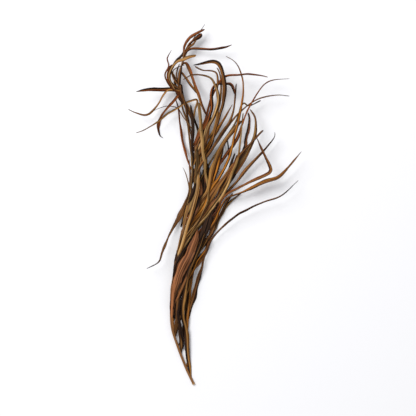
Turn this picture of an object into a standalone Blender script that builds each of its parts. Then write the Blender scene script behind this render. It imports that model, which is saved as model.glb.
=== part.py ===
"""A dried areca palm frond that lies folded up on a flat surface.

The frond is one natural piece. A thin stalk runs from its cut end to its tip, and leaflets grow
from it on both sides. They have dried, folded along their midribs, closed up along the stalk and
curled at their tips. Each leaflet has a route in plan, in millimetres, with its zero at the cut
end of the stalk and +Y towards the tip. Its height comes from what lies under it: the leaflets
are laid one after another, from the lowest to the highest, and each rests on those before it.
"""

import math
import random

import bmesh
import bpy
import numpy as np
from mathutils import Vector

MM = 0.001

# The drawing's zero is the cut end of the stalk. The part's zero is the middle of its box.
BOX_CENTRE = (54.5, 450.4)

# Stalk: route in plan with the height of its centre line, and its width from cut end to tip.
STALK_ROUTE = (
    (2, 0, 2.3), (-17, 40, 2.3), (-38, 95, 6), (-53, 145, 10), (-55, 200, 13), (-52, 245, 15),
    (-42, 315, 17), (-25, 385, 19), (-10, 455, 20), (-3, 525, 21), (0, 625, 21), (-4, 680, 20),
    (-24, 718, 20), (-33, 760, 21), (-31, 785, 21), (-21, 838, 20),
)
STALK_WIDTHS = (6.2, 6.0, 5.6, 5.2, 4.8, 4.4, 4.0, 3.6, 3.2, 2.8)
STALK_SIDES = 8
STALK_FLATNESS = 0.85

# Leaflets. A fold is the drop of a leaflet's edges below its ridge, as a share of its half width.
BLADE_THICKNESS = 1.2
KEELED_BELOW = 6.6
KEELED_DROP = 0.5
FOLD_WIDEST = 0.38
FOLD_NARROW = 0.60
TAPER = (0.45, 0.85, 1.0, 1.0, 0.95, 0.88, 0.75, 0.55, 0.15)
TURN_LIMIT = math.radians(24)
TURN_SEED = 1000
FLOATING = 30.0

# Roots. A leaflet whose drawn start lies this near the stalk grows from there. The root of any
# other is as many times its distance from the stalk further down, and its start is hidden.
ROOT_NEAR = 14.0
ROOT_SLANT = 2.0
ROOT_BOW = 0.08
ROOT_RISE = 45.0
ROOT_SLOPE = 3.0

# The pile that the leaflets are laid on: a grid of heights, read at even steps along each route.
STEP = 8.0
CELL = 3.0
GRID_LOW = (-190.0, -30.0)
GRID_HIGH = (300.0, 930.0)
OVERLAP = 0.75
NESTING = 0.45
CLEARANCE = 0.3
STIFFNESS = 3

# A new ring of the mesh comes after this much turn or this much length.
RING_TURN = math.radians(13)
RING_RUN = 74.0
STALK_RUN = 30.0

# Leaflets in the heart of the bundle, which the ones on top mostly hide, are drawn between its
# two edges: where the first and the last one start, how long, how wide and how high they are.
HEART_SEED = 11
HEART_UNDER = 8
HEART_OVER = 9
HEART_START = (115.0, 455.0)
HEART_SHIFT = 10.0
HEART_LENGTH = (170.0, 235.0)
HEART_AIM = (0.15, 0.95)
HEART_WIDTH = (9.0, 13.0)
HEART_LIFT = (2.0, 8.0)
EDGE_MARGIN = 5.0
LEFT_EDGE = ((0, 0), (95, -38), (150, -54), (210, -54), (310, -44), (400, -28), (480, -10), (650, -2))
RIGHT_EDGE = ((0, 4), (140, -14), (230, -8), (300, 6), (365, 38), (400, 50), (450, 66), (550, 38),
              (650, 34))

# One row for each leaflet that shows: its name, its width at its widest or from root to tip, how
# high its tip floats, and its route in plan. The rows run from the lowest leaflet to the highest.
UNDER_STALK = (
    ("long_right", (3, 6, 10, 14, 11, 7, 6, 5, 5, 5, 4.5, 3.5, 1.5), 36,
     ((-38, 95), (-28, 115), (-15, 165), (0, 215), (16, 270), (31, 325), (39, 347), (48, 364), (63, 383), (85, 404),
      (112, 427), (135, 439), (175, 458), (220, 474), (262, 512))),
    ("edge_red", 8, 2, ((38, 355), (46, 392), (54, 425))),
    ("edge_olive", 6, 4, ((48, 392), (68, 423), (88, 452), (120, 478))),
    ("far_right", (3, 4, 5, 4.5, 4, 4, 4, 5, 8, 10, 8, 5, 1.5), 38,
     ((52, 405), (70, 435), (88, 465), (125, 484), (175, 507), (210, 518), (240, 548), (270, 583))),
    ("right_lower", (3, 5, 6, 6, 5, 4.5, 5, 8, 7, 4, 1.5), 26,
     ((85, 480), (110, 508), (130, 535), (150, 558), (178, 588), (202, 617), (204, 632))),
    ("right_hook", (3, 5, 6, 5, 5, 5, 5, 7, 8, 6, 2), 42,
     ((60, 445), (90, 480), (140, 508), (185, 528), (193, 541), (178, 575), (163, 608), (158, 618))),
    ("fan_tan", (3, 6, 7, 7, 6, 5, 4, 3), 5,
     ((85, 500), (100, 535), (112, 573), (120, 620), (126, 680))),
    ("right_upper", (3, 6, 9, 10, 9, 7, 5), 34,
     ((95, 540), (120, 578), (145, 604), (175, 636))),
    ("left_stray", (3, 5, 8, 12, 9, 6, 4, 6, 5, 3, 1.5), 30,
     ((-8, 492), (-19, 458), (-34, 421), (-60, 371), (-76, 334), (-82, 314), (-92, 304), (-116, 292))),
    ("fan_red", (3, 6, 9, 10, 8, 3), 2,
     ((62, 470), (95, 530), (122, 575), (135, 620), (141, 665), (137, 682))),
    ("fan_bend", (3, 4, 6, 7, 6, 5, 4), 32,
     ((66, 470), (108, 535), (135, 580), (153, 622), (155, 665), (142, 688))),
)
OVER_STALK_UPPER = (
    ("crown_thread", (2, 2.4, 2.4, 2, 1.2), 24, ((4, 868), (20, 885), (29, 902))),
    ("crown_sweep", (3, 5, 7, 7, 6, 3), 26,
     ((-21, 830), (-20, 850), (-8, 867), (8, 877), (30, 888))),
    ("crown_inner", (3, 5, 5, 5, 6, 11, 9), 20,
     ((-21, 824), (-10, 850), (3, 862), (15, 870), (22, 878))),
    ("crown_low", (3, 6, 6, 3), 14, ((-22, 822), (-13, 840), (0, 850), (9, 864))),
    ("crown_right", (4, 5, 5, 5, 4, 2), 36,
     ((-23, 812), (-14, 832), (10, 841), (45, 838), (75, 841), (97, 849))),
    ("crown_left", (4, 5, 5, 5, 5, 3), 24,
     ((-21, 838), (-28, 822), (-42, 808), (-55, 787), (-62, 768), (-52, 746))),
    ("knot_bow", (3, 4, 3.5, 3.5, 3.5, 3, 1.2), 34,
     ((-45, 735), (-60, 752), (-69, 775), (-61, 797), (-64, 815), (-53, 835))),
    ("knot_inner", (3, 5, 5, 5, 3), 24, ((-42, 735), (-57, 760), (-55, 788), (-42, 803))),
    ("knot_cross", (3, 4, 4, 4, 2), 20, ((-38, 742), (-46, 766), (-56, 790))),
    ("knot_mid", (3, 4, 4, 3, 2), 16, ((-36, 740), (-39, 765), (-40, 785), (-34, 803))),
    ("knot_thread", (2, 2.4, 2.4, 1.6), 26, ((-50, 783), (-35, 794), (-20, 800))),
    ("tan_tip", (3, 4, 4, 5, 6, 9, 7), 42,
     ((-48, 742), (-57, 768), (-50, 795), (-36, 807), (-12, 813), (10, 830))),
    ("thin_left", (2, 2.4, 2.4, 2, 1.2), 32, ((-38, 692), (-62, 697), (-82, 692), (-98, 684))),
    ("left_hook", (4, 8, 6, 4, 5, 7, 4, 1.2), 2,
     ((-34, 735), (-45, 713), (-62, 694), (-80, 675), (-88, 648), (-82, 625), (-75, 619))),
    ("left_wave", (4, 5, 5, 5, 5, 4.5, 4, 2), 32,
     ((-36, 734), (-60, 738), (-72, 726), (-87, 702), (-104, 680), (-120, 674), (-145, 681),
      (-161, 689))),
    ("left_bar", (4, 9, 9, 8, 6, 2), 46,
     ((-28, 728), (-45, 738), (-80, 738), (-120, 735), (-141, 731))),
    ("left_tan", (3, 4, 5, 5, 5, 5, 4, 3, 2), 40,
     ((12, 712), (-10, 709), (-34, 696), (-60, 679), (-88, 656), (-120, 637), (-142, 629))),
    ("loop_end", (3, 4, 3.5, 3, 2), 22, ((8, 761), (28, 770), (45, 781), (62, 786))),
    ("left_red", (3, 5, 5, 5, 4.5, 4, 2), 3,
     ((-3, 535), (-15, 570), (-27, 617), (-35, 662), (-39, 695), (-43, 714))),
    ("left_thin", (2, 3, 3, 1.2), 18, ((-9, 470), (-12, 505), (-18, 528), (-25, 544))),
    ("left_olive", (3, 4, 4.5, 4, 4, 3), 14,
     ((-4, 560), (-8, 600), (-14, 645), (-25, 682), (-33, 703))),
    ("left_inner", (3, 4, 4.5, 4, 3), 14, ((-4, 600), (-11, 660), (-20, 697), (-29, 728))),
    ("dark_branch", (3, 6, 7, 6, 3), 12, ((20, 600), (14, 634), (1, 668), (-6, 696))),
    ("hidden_pale", (3, 7, 8, 8, 5), 10, ((0, 560), (8, 590), (13, 620), (14, 640))),
    ("long_spike", (4, 6, 6, 5, 5, 4, 2), 52,
     ((25, 650), (44, 712), (62, 752), (80, 770), (110, 773), (140, 775), (186, 766))),
    ("loop_right", (4, 8, 7, 6, 6, 8, 8, 6, 4), 34,
     ((35, 655), (47, 690), (46, 725), (54, 750), (76, 755), (96, 750), (105, 725))),
    ("peak_under", (3, 4, 4, 4, 4, 3), 36,
     ((58, 690), (68, 740), (68, 772), (48, 781), (22, 788), (-2, 787))),
    ("peak_inner", (3, 6, 6, 6, 5, 3), 26, ((52, 640), (64, 695), (69, 740), (67, 778), (60, 793))),
    ("peak", (4, 7, 8, 8, 8, 9, 9, 10, 9, 3), 54,
     ((45, 600), (57, 640), (70, 682), (78, 720), (79, 752), (68, 792), (52, 806), (24, 800),
      (1, 796))),
    ("wide_arch", (6, 14, 16, 14, 10, 8, 7, 5, 4, 3, 2), 44,
     ((25, 600), (38, 640), (55, 680), (64, 722), (50, 758), (28, 771), (0, 772), (-25, 760))),
    ("side_thin", (3, 6, 7, 6, 5, 2), 16, ((45, 610), (64, 642), (85, 677), (98, 702))),
    ("side_long", (3, 5, 6, 6, 5, 4, 3), 30,
     ((50, 595), (70, 630), (92, 660), (103, 692), (106, 730), (109, 752))),
    ("fan_top", (4, 5, 6, 6, 5, 4, 4, 3, 3, 2), 40,
     ((40, 580), (70, 622), (103, 666), (135, 697), (165, 715), (205, 723), (240, 720))),
    ("fan_second", (3, 5, 6, 7, 7, 5, 4, 3, 1.5), 40,
     ((100, 600), (118, 635), (136, 683), (152, 712), (176, 748), (205, 762), (240, 763))),
    ("fan_short", (3, 4, 4, 3), 14, ((103, 650), (123, 700), (140, 696), (170, 710))),
    ("right_wide", (5, 11, 13, 12, 10, 8, 6, 4), 24,
     ((35, 490), (50, 545), (72, 597), (92, 630), (122, 664))),
    ("amber", (4, 9, 10, 9, 7, 6, 5, 5, 4, 3, 2), 46,
     ((25, 440), (42, 482), (66, 520), (94, 575), (110, 628), (123, 700), (124, 760), (107, 800),
      (81, 818))),
)
OVER_STALK_LOWER = (
    ("red_second", (4, 8, 8, 8, 7, 3), 8, ((5, 405), (30, 440), (60, 483), (98, 545))),
    ("centre_tan", (4, 8, 10, 10, 8, 5), 8, ((-38, 345), (-10, 390), (16, 430), (38, 485))),
    ("left_short", (3, 6, 7, 5), 6, ((-43, 310), (-35, 340), (-24, 392))),
    ("left_rim", (3, 4, 4, 4, 2), 8, ((-33, 410), (-22, 442), (-10, 475), (8, 490))),
    ("pale_tan", (4, 9, 10, 10, 10, 9, 8, 5), 10,
     ((-47, 300), (-36, 355), (-17, 405), (5, 460), (16, 505), (20, 560))),
    ("pale_sweep", (3, 5, 6, 7, 7, 6, 6, 6, 7, 8, 9, 8, 4), 42,
     ((-15, 350), (18, 418), (37, 458), (40, 490), (32, 535), (24, 590), (23, 635), (15, 680),
      (10, 735), (-7, 787), (-18, 805), (-32, 798))),
    ("sweep_inner", (3, 4, 5, 5, 5, 3), 28,
     ((18, 690), (10, 722), (-5, 745), (-18, 765), (-28, 780))),
    ("strand_short", 6, 8, ((5, 297), (26, 330), (47, 375))),
    ("strand_thin", (3, 4, 4, 4, 3), 8, ((-15, 215), (-8, 268), (10, 311), (38, 363))),
    ("strand_dark", (4, 8, 8, 8, 5), 8, ((-33, 230), (-18, 262), (-4, 300), (24, 365))),
    ("red_long", (4, 10, 12, 12, 12, 11, 10, 9, 8, 6, 3), 12,
     ((-50, 240), (-38, 300), (-14, 355), (20, 410), (58, 463), (88, 517), (103, 550), (110, 575))),
    ("red_wide", (6, 14, 18, 21, 20, 16, 12, 7), 8,
     ((-52, 160), (-44, 225), (-26, 290), (0, 350), (25, 405))),
    ("heel_dark", (3, 7, 9, 9, 8, 6, 3), 6,
     ((-22, 100), (-27, 140), (-29, 185), (-20, 240), (-6, 290), (12, 335))),
    ("heel_inner", (3, 7, 9, 9, 8, 6, 3), 6,
     ((-14, 60), (-17, 110), (-19, 160), (-13, 215), (-3, 265), (10, 305))),
    ("heel_left", (3, 6, 7, 7, 6, 4), 6, ((-29, 72), (-34, 125), (-40, 175), (-30, 250))),
    ("heel_right", (6, 9, 13, 13, 12, 11, 8, 5), 8,
     ((-6, 17), (-13, 70), (-18, 150), (-26, 210), (-10, 285), (12, 335), (30, 380))),
)


def smoothstep(t):
    """A smooth rise from 0 to 1."""
    t = np.clip(t, 0.0, 1.0)
    return t * t * (3.0 - 2.0 * t)


def smooth_route(points):
    """Points at even steps on a smooth curve through the given ones."""
    given = np.array(points, dtype=float)
    padded = np.vstack([2 * given[0] - given[1], given, 2 * given[-1] - given[-2]])
    fine = [given[0]]
    for a, b, c, d in zip(padded[:-3], padded[1:-2], padded[2:-1], padded[3:]):
        for t in np.linspace(0.0, 1.0, 17)[1:]:
            fine.append(0.5 * (2 * b + (c - a) * t + (2 * a - 5 * b + 4 * c - d) * t ** 2
                               + (3 * b - a - 3 * c + d) * t ** 3))
    fine = np.array(fine)
    strides = np.linalg.norm(np.diff(fine[:, :2], axis=0), axis=1)
    run = np.concatenate([[0.0], np.cumsum(strides)])
    even = np.linspace(0.0, run[-1], max(4, round(run[-1] / STEP)) + 1)
    return np.column_stack([np.interp(even, run, column) for column in fine.T])


def spread(values, count):
    """The given values spread evenly over this many points, with a smooth run between them."""
    values = np.array(values, dtype=float)
    place = np.linspace(0.0, len(values) - 1.0, count)
    low = np.minimum(place.astype(int), len(values) - 2)
    return values[low] + (values[low + 1] - values[low]) * smoothstep(place - low)


def stalk_at(stalk, y):
    """The first point of the stalk that is this far up, or its tip."""
    above = np.flatnonzero(stalk[:, 1] >= y)
    return stalk[above[0]] if len(above) else stalk[-1]


def rooted(points, stalk):
    """The route from its root on the stalk, and the root's height."""
    x, y = points[0]
    reach = math.hypot(*(stalk_at(stalk, y)[:2] - (x, y)))
    if reach < ROOT_NEAR:
        root = stalk[np.argmin(np.hypot(stalk[:, 0] - x, stalk[:, 1] - y))]
        return (tuple(root[:2]), *points[1:]), root[2]
    root = stalk_at(stalk, y - ROOT_SLANT * reach)
    middle = ((root[0] + x) / 2 - ROOT_BOW * reach, (root[1] + y) / 2)
    return (tuple(root[:2]), middle, *points), root[2]


def heart_rows(draw, count, stalk):
    """Leaflets inside the bundle, from seeded draws between its two edges."""
    rows = []
    for number in range(count):
        start = HEART_START[0] + (HEART_START[1] - HEART_START[0]) * number / (count - 1)
        start += draw.uniform(-HEART_SHIFT, HEART_SHIFT)
        length = draw.uniform(*HEART_LENGTH)
        aim = draw.uniform(*HEART_AIM)
        root = stalk_at(stalk, start)
        points = [tuple(root[:2])]
        for part in (0.35, 0.7, 1.0):
            y = start + length * part
            left = np.interp(y, *zip(*LEFT_EDGE)) + EDGE_MARGIN
            right = np.interp(y, *zip(*RIGHT_EDGE)) - EDGE_MARGIN
            goal = left + (right - left) * aim
            drift = smoothstep(0.35 + 0.65 * part)
            points.append((root[0] + (goal - root[0]) * drift, y))
        width = draw.uniform(*HEART_WIDTH)
        lift = draw.uniform(*HEART_LIFT)
        rows.append((f"heart_{number}", width, lift, tuple(points)))
    return rows


def settled(bumps):
    """The height of a stiff strip that lies over these bumps."""
    size = 2 * STIFFNESS + 1
    padded = np.pad(bumps, STIFFNESS, mode="edge")
    highest = np.lib.stride_tricks.sliding_window_view(padded, size).max(axis=1)
    padded = np.pad(highest, STIFFNESS, mode="edge")
    return np.lib.stride_tricks.sliding_window_view(padded, size).mean(axis=1)


class Pile:
    """The height of what already lies on the surface, on a square grid."""

    def __init__(self):
        size = [round((high - low) / CELL) for low, high in zip(GRID_LOW, GRID_HIGH)]
        self.top = np.zeros(size)

    def window(self, x, y, reach):
        column = int((x - GRID_LOW[0]) / CELL)
        row = int((y - GRID_LOW[1]) / CELL)
        cells = max(1, round(reach * OVERLAP / CELL))
        return (slice(column - cells + 1, column + cells), slice(row - cells + 1, row + cells))

    def under(self, plan, reach):
        return np.array([self.top[self.window(x, y, r)].max() for (x, y), r in zip(plan, reach)])

    def add(self, plan, reach, height):
        for (x, y), r, z in zip(plan, reach, height):
            place = self.window(x, y, r)
            self.top[place] = np.maximum(self.top[place], z)


def half_widths(width, count):
    """Half the width at each point: a list from root to tip, or one width with the usual taper."""
    values = width if isinstance(width, tuple) else tuple(width * part for part in TAPER)
    return 0.5 * spread(values, count)


def fold_depth(half):
    """How far a leaflet's edges hang below its ridge: narrow stretches are folded more."""
    return half * (FOLD_WIDEST + FOLD_NARROW * (1.0 - half / half.max()))


def turns(number, count, lift):
    """A slow turn about the leaflet's own length, more in those that float."""
    draw = random.Random(TURN_SEED + number)
    size = TURN_LIMIT * (0.4 + 0.6 * min(1.0, lift / FLOATING))
    phase = np.linspace(0.0, draw.uniform(0.8, 2.2) * math.pi, count)
    return size * np.sin(phase + draw.uniform(0.0, 2.0 * math.pi))


def lay(pile, number, row, stalk):
    """One leaflet laid on the pile: its centre line, half widths and turn."""
    name, width, lift, points = row
    points, root_height = rooted(points, stalk)
    plan = smooth_route(points)
    count = len(plan)
    half = half_widths(width, count)
    turn = turns(number, count, lift)
    depth = fold_depth(half)
    tilt = half * np.abs(np.sin(turn))
    hang = NESTING * depth + tilt + CLEARANCE
    part = np.linspace(0.0, 1.0, count)
    height = settled(pile.under(plan, half)) + hang
    height = np.maximum(height, lift * smoothstep(1.15 * part - 0.15))
    height = settled(height - hang) + hang
    rise = max(ROOT_RISE, ROOT_SLOPE * (height.max() - root_height)) / (STEP * (count - 1))
    height = root_height + (height - root_height) * smoothstep(part / rise)
    height = np.maximum(height, depth + tilt)
    pile.add(plan, half, height + BLADE_THICKNESS / 2 + 0.3 * tilt)
    return name, np.column_stack([plan, height]), half, turn


def frames(route, turn):
    """Side and up directions along a route, turned about its own length."""
    along = np.gradient(route, axis=0)
    along /= np.linalg.norm(along, axis=1)[:, None]
    side = np.cross(along, (0.0, 0.0, 1.0))
    side /= np.linalg.norm(side, axis=1)[:, None]
    up = np.cross(side, along)
    cosine = np.cos(turn)[:, None]
    sine = np.sin(turn)[:, None]
    return side * cosine + up * sine, up * cosine - side * sine


def ring_places(route, longest):
    """Where the mesh needs a ring: after a set turn, or after this length."""
    along = np.diff(route, axis=0)
    strides = np.linalg.norm(along, axis=1)
    along /= strides[:, None]
    places = [0]
    turned = 0.0
    run = 0.0
    for i in range(1, len(route) - 1):
        turned += math.acos(min(1.0, float(along[i - 1] @ along[i])))
        run += strides[i - 1]
        if turned > RING_TURN or run > longest:
            places.append(i)
            turned = 0.0
            run = 0.0
    places.append(len(route) - 1)
    return places


def add_object(name, points, faces, material):
    """An object of these points, in millimetres, and faces, with its faces pointing out."""
    mesh = bpy.data.meshes.new(name)
    mesh.from_pydata([Vector(point) * MM for point in points], [], faces)
    shape = bmesh.new()
    shape.from_mesh(mesh)
    bmesh.ops.recalc_face_normals(shape, faces=shape.faces)
    shape.to_mesh(mesh)
    shape.free()
    mesh.materials.append(material)
    return bpy.data.objects.new(name, mesh)


def blade(name, route, half, turn, material):
    """A leaflet: a folded strip, or a slim keeled one where it is narrow, with a pointed tip.

    Every stretch is split into triangles alike on its upper and its under face.
    """
    side, up = frames(route, turn)
    depth = np.maximum(fold_depth(half), KEELED_DROP)
    keeled = 2.0 * half.max() < KEELED_BELOW
    rings = []
    points = []
    for i in ring_places(route, RING_RUN)[:-1]:
        edge = side[i] * half[i]
        drop = up[i] * depth[i]
        wall = up[i] * BLADE_THICKNESS / 2
        ring = [route[i] - edge - drop, route[i] + wall, route[i] + edge - drop]
        if not keeled:
            ring.append(route[i] - wall)
        rings.append(range(len(points), len(points) + len(ring)))
        points.extend(ring)
    tip = len(points)
    points.append(route[-1])
    faces = [tuple(rings[0])] if keeled else [(0, 1, 3), (1, 2, 3)]
    for low, high in zip(rings[:-1], rings[1:]):
        for k in range(len(low)):
            n = (k + 1) % len(low)
            if k % 2 == 0:
                faces += [(low[k], low[n], high[n]), (low[k], high[n], high[k])]
            else:
                faces += [(low[k], low[n], high[k]), (low[n], high[n], high[k])]
    last = rings[-1]
    faces += [(last[k], last[(k + 1) % len(last)], tip) for k in range(len(last))]
    return add_object(name, points, faces, material)


def stalk_solid(route, material):
    """The stalk: eight sides, flatter than wide, and cut flat where it meets the surface."""
    side, up = frames(route, np.zeros(len(route)))
    radii = 0.5 * spread(STALK_WIDTHS, len(route))
    points = []
    rings = []
    for i in ring_places(route, STALK_RUN):
        rings.append([len(points) + k for k in range(STALK_SIDES)])
        for k in range(STALK_SIDES):
            angle = 2.0 * math.pi * (k + 0.5) / STALK_SIDES
            offset = side[i] * math.cos(angle) + up[i] * math.sin(angle) * STALK_FLATNESS
            x, y, z = route[i] + offset * radii[i]
            points.append((x, y, max(z, 0.0)))
    faces = [rings[0], rings[-1]]
    for low, high in zip(rings[:-1], rings[1:]):
        for k in range(STALK_SIDES):
            n = (k + 1) % STALK_SIDES
            faces.append((low[k], low[n], high[n], high[k]))
    return add_object("frond", points, faces, material)


def dried_leaf():
    """Dry leaf: brown and matt, with a faint sheen along its fibres."""
    material = bpy.data.materials.new("dried_leaf")
    material.use_nodes = True
    shader = material.node_tree.nodes["Principled BSDF"]
    shader.inputs["Base Color"].default_value = (0.205, 0.102, 0.042, 1.0)
    shader.inputs["Roughness"].default_value = 0.62
    shader.inputs["Metallic"].default_value = 0.0
    return material


def laid_leaflets(stalk):
    """All leaflets on their pile, from the lowest to the highest."""
    draw = random.Random(HEART_SEED)
    under = heart_rows(draw, HEART_UNDER, stalk) + list(UNDER_STALK)
    heart = heart_rows(draw, HEART_OVER, stalk)[::-1]
    over = list(OVER_STALK_UPPER) + heart + list(OVER_STALK_LOWER)
    pile = Pile()
    laid = [lay(pile, number, row, stalk) for number, row in enumerate(under)]
    radii = 0.5 * spread(STALK_WIDTHS, len(stalk))
    pile.add(stalk[:, :2], radii, stalk[:, 2] + radii)
    laid += [lay(pile, number, row, stalk) for number, row in enumerate(over, len(under))]
    return laid


def fuse(base, collection):
    """One union of the base and everything in the collection, which is then removed."""
    union = base.modifiers.new("union", "BOOLEAN")
    union.operation = "UNION"
    union.operand_type = "COLLECTION"
    union.collection = collection
    union.solver = "EXACT"
    depsgraph = bpy.context.evaluated_depsgraph_get()
    fused = bpy.data.meshes.new_from_object(base.evaluated_get(depsgraph))
    base.modifiers.clear()
    base.data = fused
    for piece in list(collection.objects):
        bpy.data.objects.remove(piece, do_unlink=True)
    bpy.data.collections.remove(collection)


def build():
    for old in list(bpy.data.objects):
        bpy.data.objects.remove(old, do_unlink=True)
    material = dried_leaf()
    centre = np.array((*BOX_CENTRE, 0.0))
    stalk = smooth_route(STALK_ROUTE)
    frond = stalk_solid(stalk - centre, material)
    bpy.context.scene.collection.objects.link(frond)
    leaflets = bpy.data.collections.new("leaflets")
    bpy.context.scene.collection.children.link(leaflets)
    for name, route, half, turn in laid_leaflets(stalk):
        leaflets.objects.link(blade(name, route - centre, half, turn, material))
    fuse(frond, leaflets)


build()
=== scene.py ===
"""A dried areca palm frond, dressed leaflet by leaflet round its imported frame.

The frond is one natural piece: a thin stalk, and leaflets that have folded along their midribs as
they dried, closed up along the stalk and curled at their tips. Routes are drawn in millimetres in
plan, with their zero at the cut end of the stalk and +Y towards the tip. The leaflets are laid one
after another, from the lowest to the highest, and each rests on those before it.
"""

import math
import random

import bmesh
import bpy
import numpy as np
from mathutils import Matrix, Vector


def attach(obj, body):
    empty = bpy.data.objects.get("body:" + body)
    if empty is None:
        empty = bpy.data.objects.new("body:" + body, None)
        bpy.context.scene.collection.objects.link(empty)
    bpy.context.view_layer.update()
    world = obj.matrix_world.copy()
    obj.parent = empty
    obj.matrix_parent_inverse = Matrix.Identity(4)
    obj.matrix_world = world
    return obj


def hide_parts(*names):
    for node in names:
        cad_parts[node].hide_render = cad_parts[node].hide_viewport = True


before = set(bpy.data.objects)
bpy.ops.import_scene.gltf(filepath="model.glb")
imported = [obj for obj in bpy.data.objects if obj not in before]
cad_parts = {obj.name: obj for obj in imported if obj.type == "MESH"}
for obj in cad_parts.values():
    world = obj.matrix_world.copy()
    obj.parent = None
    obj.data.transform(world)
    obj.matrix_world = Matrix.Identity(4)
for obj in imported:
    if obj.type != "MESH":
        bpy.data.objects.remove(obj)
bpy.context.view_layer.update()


# The stalk. A palm's rachis is a woody rod of long fibres, with a channel along its upper side. It
# has dried brown and shrunk in lengthwise grooves, is cut through at its foot, and thins out to
# the last leaflets. It runs through the bundle, under most of the leaflets that it carries.

MM = 0.001
BOX_CENTRE = (54.5, 450.4)
STEP = 8.0
STALK_ROUTE = (
    (2, 0, 2.3), (-17, 40, 2.3), (-38, 95, 6), (-53, 145, 10), (-55, 200, 13), (-52, 245, 15),
    (-42, 315, 17), (-25, 385, 19), (-10, 455, 20), (-3, 525, 21), (0, 625, 21), (-4, 680, 20),
    (-24, 718, 20), (-33, 760, 21), (-31, 785, 21), (-21, 838, 20),
)
STALK_WIDTHS = (6.2, 6.0, 5.6, 5.2, 4.8, 4.4, 4.0, 3.6, 3.2, 2.8)
STALK_FLATNESS = 0.85
STALK_STEP = 1.5
STALK_SIDES = 36
CUT_SWELL = 0.9
CUT_LENGTH = 9.0
CHANNEL_DEPTH = 0.30
GROOVE_DEPTH = 0.22
GROOVE_WIDTH = 0.9
GROOVE_LENGTH = 38.0
SHARP_EDGE = math.radians(24)


def smoothstep(t):
    """A smooth rise from 0 to 1."""
    t = np.clip(t, 0.0, 1.0)
    return t * t * (3.0 - 2.0 * t)


def smooth_route(points, step=STEP):
    """Points at even steps on a smooth curve through the given ones."""
    given = np.array(points, dtype=float)
    padded = np.vstack([2 * given[0] - given[1], given, 2 * given[-1] - given[-2]])
    fine = [given[0]]
    for a, b, c, d in zip(padded[:-3], padded[1:-2], padded[2:-1], padded[3:]):
        for t in np.linspace(0.0, 1.0, 17)[1:]:
            fine.append(0.5 * (2 * b + (c - a) * t + (2 * a - 5 * b + 4 * c - d) * t ** 2
                               + (3 * b - a - 3 * c + d) * t ** 3))
    fine = np.array(fine)
    strides = np.linalg.norm(np.diff(fine[:, :2], axis=0), axis=1)
    run = np.concatenate([[0.0], np.cumsum(strides)])
    even = np.linspace(0.0, run[-1], max(4, round(run[-1] / step)) + 1)
    return np.column_stack([np.interp(even, run, column) for column in fine.T])


def spread(values, count):
    """The given values spread evenly over this many points, with a smooth run between them."""
    values = np.array(values, dtype=float)
    place = np.linspace(0.0, len(values) - 1.0, count)
    low = np.minimum(place.astype(int), len(values) - 2)
    return values[low] + (values[low + 1] - values[low]) * smoothstep(place - low)


def frames(route, turn):
    """Side and up directions along a route, turned about its own length."""
    along = np.gradient(route, axis=0)
    along /= np.linalg.norm(along, axis=1)[:, None]
    side = np.cross(along, (0.0, 0.0, 1.0))
    side /= np.linalg.norm(side, axis=1)[:, None]
    up = np.cross(side, along)
    cosine = np.cos(turn)[:, None]
    sine = np.sin(turn)[:, None]
    return side * cosine + up * sine, up * cosine - side * sine


def colour(code):
    """An sRGB hex value as linear red, green, blue and alpha."""
    parts = [int(code[i:i + 2], 16) / 255 for i in (1, 3, 5)]
    return [c / 12.92 if c <= 0.04045 else ((c + 0.055) / 1.055) ** 2.4 for c in parts] + [1.0]


def add_node(tree, kind, inputs=(), **settings):
    """Adds a node with its settings. A node among the inputs stands for its first output."""
    node = tree.nodes.new(kind)
    for name, value in settings.items():
        setattr(node, name, value)
    for key, value in dict(inputs).items():
        if isinstance(value, bpy.types.Node):
            value = value.outputs[0]
        if isinstance(value, bpy.types.NodeSocket):
            tree.links.new(value, node.inputs[key])
        else:
            node.inputs[key].default_value = value
    return node


def route_mesh(name, strands):
    """A mesh of open routes in millimetres, whose points carry what the trees below read."""
    mesh = bpy.data.meshes.new(name)
    edges = []
    start = 0
    for strand in strands:
        count = len(strand["place"])
        edges += [(i, i + 1) for i in range(start, start + count - 1)]
        start += count
    joined = {key: np.concatenate([strand[key] for strand in strands]) for key in strands[0]}
    mesh.from_pydata(joined.pop("place"), edges, [])
    kinds = {1: ("FLOAT", "value"), 3: ("FLOAT_VECTOR", "vector"), 4: ("FLOAT_COLOR", "color")}
    for key, values in joined.items():
        kind, field = kinds[1 if values.ndim == 1 else values.shape[1]]
        layer = mesh.attributes.new(key, kind, "POINT")
        layer.data.foreach_set(field, values.ravel())
    return mesh


def named_input(tree, name, kind="NodeSocketFloat"):
    """A named input of a tree, as the socket that its group input node gives."""
    tree.interface.new_socket(name, in_out="INPUT", socket_type=kind)
    return tree.nodes["Group Input"].outputs[name]


def new_tree(name):
    """An empty tree of geometry nodes that takes routes and gives a mesh."""
    tree = bpy.data.node_groups.new(name, "GeometryNodeTree")
    tree.nodes.new("NodeGroupInput")
    tree.nodes.new("NodeGroupOutput")
    tree.interface.new_socket("Geometry", in_out="OUTPUT", socket_type="NodeSocketGeometry")
    return tree, named_input(tree, "Routes", "NodeSocketGeometry")


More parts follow.
